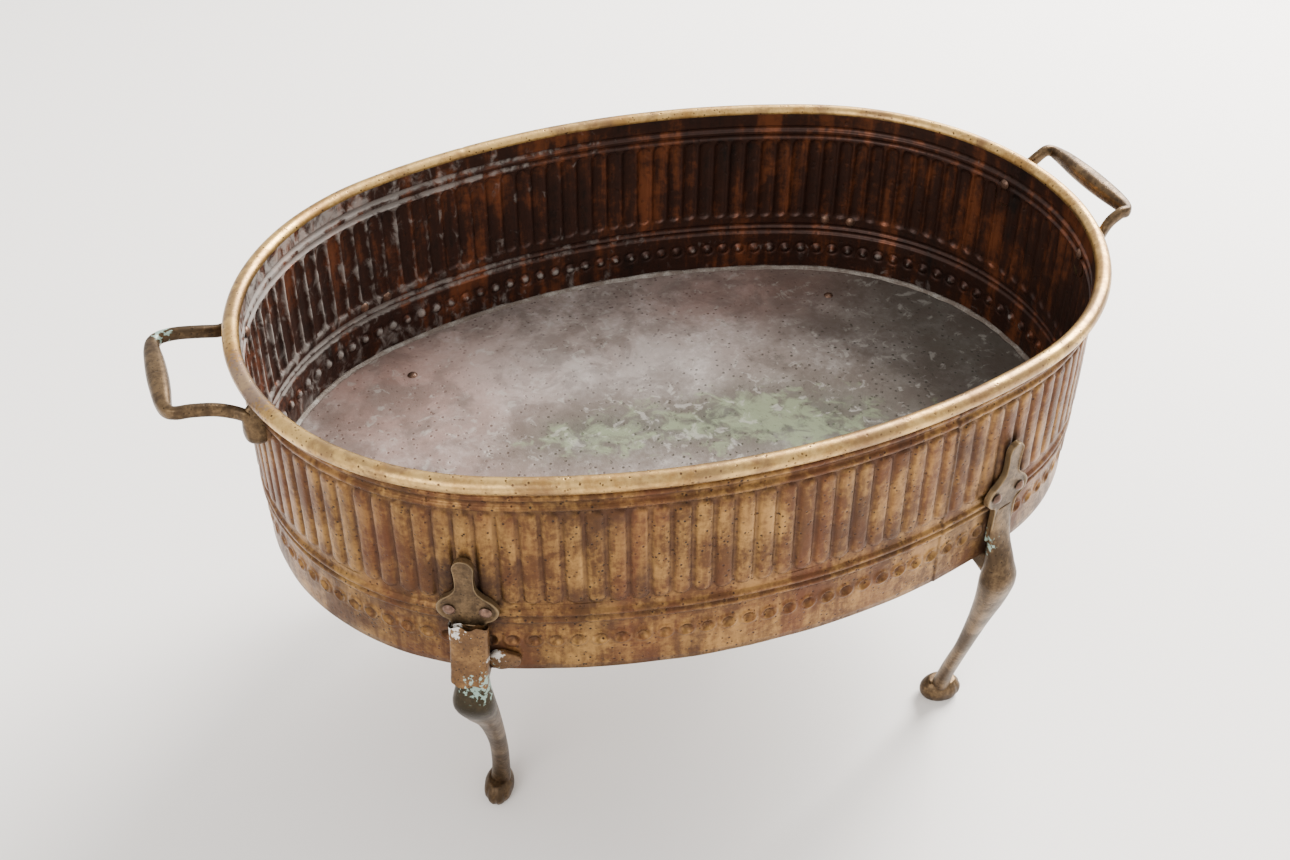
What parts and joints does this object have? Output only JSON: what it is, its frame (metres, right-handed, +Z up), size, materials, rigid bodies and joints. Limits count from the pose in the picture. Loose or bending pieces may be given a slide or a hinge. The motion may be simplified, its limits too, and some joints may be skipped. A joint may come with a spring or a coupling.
{
  "type": "oval footed planter pot",
  "caption": "Oval sheet-brass planter with a rolled rim, fluted wall, flat floor, riveted end handles and cast cabriole legs.",
  "frame": {"origin": "middle of the whole length and width, handles included, on the ground plane under the feet; the oval's own centre is 8 mm towards +X from it, as the left handle reaches further out", "axes": "+X along the oval's long axis towards the right handle, +Y towards the back, +Z up"},
  "size_m": [0.499, 0.3118, 0.2704],
  "materials": {
    "sheet_brass": "aged, embossed sheet, dark in the grooves",
    "wire": "plain drawn wire",
    "floor_copper": "dull reddish sheet with grey and green deposits",
    "solder": "dull, stained solder",
    "cast_brass": "dull aged casting",
    "repair_brass": "warm brass, rough from brazing",
    "rivets": "dark hammered heads"
  },
  "bodies": {
    "root": {"body_wall": "sheet_brass", "rim_wire": "wire", "floor_plate": "floor_copper", "floor_solder": "solder", "repair_sleeve": "repair_brass", "handle_left": "cast_brass", "handle_right": "cast_brass", "handle_rivet_left_front": "rivets", "handle_rivet_left_back": "rivets", "handle_rivet_right_front": "rivets", "handle_rivet_right_back": "rivets", "leg_front_left": "cast_brass", "leg_front_right": "cast_brass", "leg_back_left": "cast_brass", "leg_back_right": "cast_brass", "leg_rivet_front_left_a": "rivets", "leg_rivet_front_left_b": "rivets", "leg_rivet_front_right_a": "rivets", "leg_rivet_front_right_b": "rivets", "leg_rivet_back_left_a": "rivets", "leg_rivet_back_left_b": "rivets", "leg_rivet_back_right_a": "rivets", "leg_rivet_back_right_b": "rivets", "floor_rivet_front_left": "rivets", "floor_rivet_front_right": "rivets", "floor_rivet_back_left": "rivets", "floor_rivet_back_right": "rivets"}
  },
  "joints": []
}
